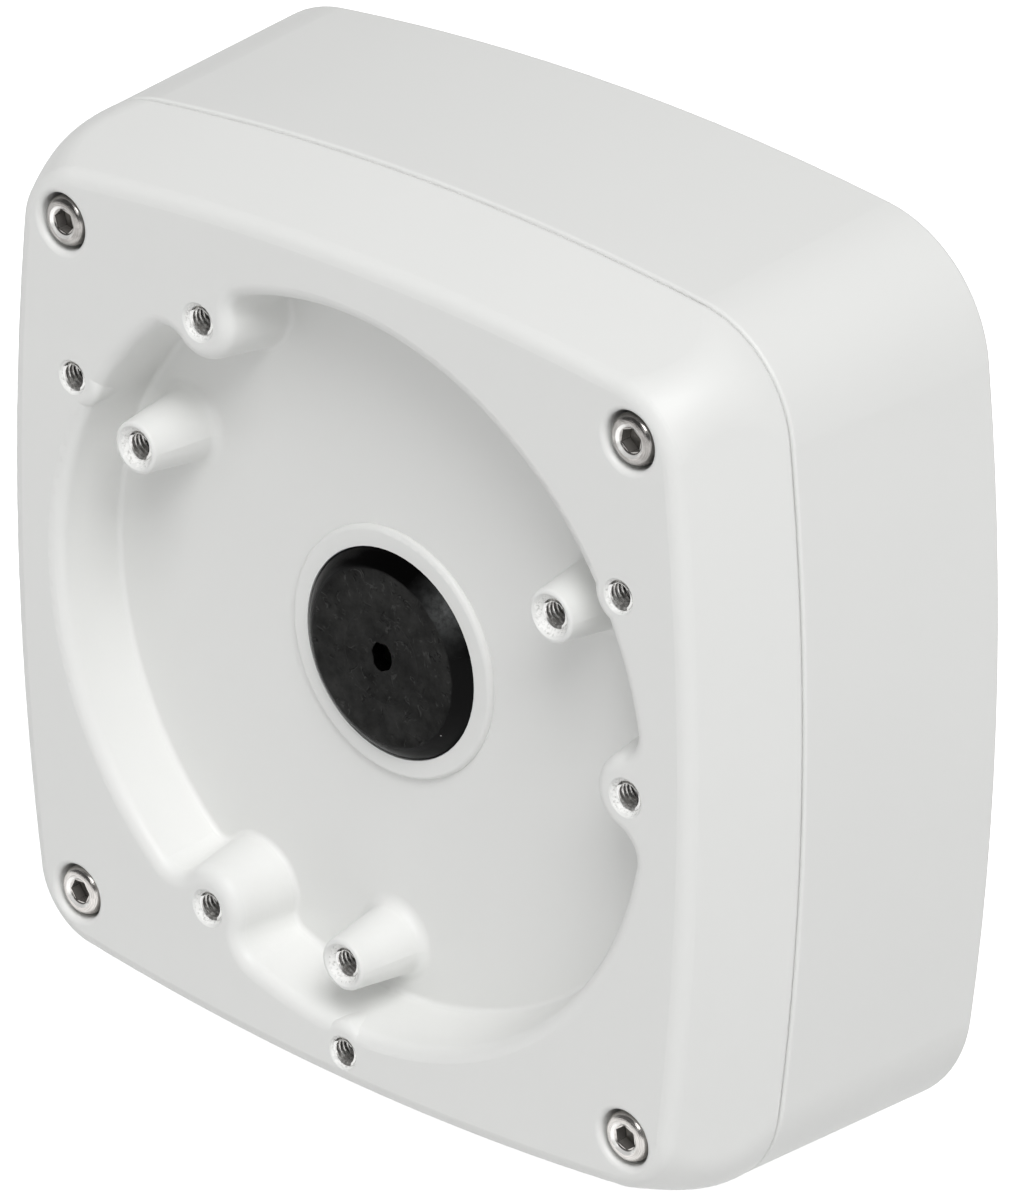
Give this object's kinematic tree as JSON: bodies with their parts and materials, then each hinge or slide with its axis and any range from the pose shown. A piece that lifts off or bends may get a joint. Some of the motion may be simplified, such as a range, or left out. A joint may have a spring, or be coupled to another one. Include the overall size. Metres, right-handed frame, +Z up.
{
  "type": "camera junction box",
  "caption": "Square die-cast wall box with a screwed front cover, a round cable recess, tapped holes for camera bases and a rubber cable grommet.",
  "frame": {"origin": "middle of the back face, which lies on the wall; also the middle of the wall screws' pattern", "axes": "+Z up, +X to the right of someone who faces the box, -Y out of its front, +Y into the wall"},
  "size_m": [0.134, 0.0513, 0.134],
  "materials": {
    "casting": "white powder coat, satin, with a very fine texture",
    "cover_screw": "turned stainless steel",
    "rubber": "black rubber, scuffed on its face",
    "gasket": "dark grey silicone",
    "screw_seal": "dark sealing washer",
    "entry_plug": "pale grey moulded nylon",
    "earth_screw": "plain brass"
  },
  "bodies": {
    "root": {"rear_housing": "casting", "front_cover": "casting", "cover_gasket": "gasket", "cable_grommet": "rubber", "rear_grommet": "rubber", "conduit_plug": "entry_plug", "plug_seal": "gasket", "earth_screw": "earth_screw", "earth_washer": "earth_screw", "cover_screw_1": "cover_screw", "cover_screw_2": "cover_screw", "cover_screw_3": "cover_screw", "cover_screw_4": "cover_screw", "screw_seal_1": "screw_seal", "screw_seal_2": "screw_seal", "screw_seal_3": "screw_seal", "screw_seal_4": "screw_seal", "screw_retainer_1": "rubber", "screw_retainer_2": "rubber", "screw_retainer_3": "rubber", "screw_retainer_4": "rubber"}
  },
  "joints": []
}
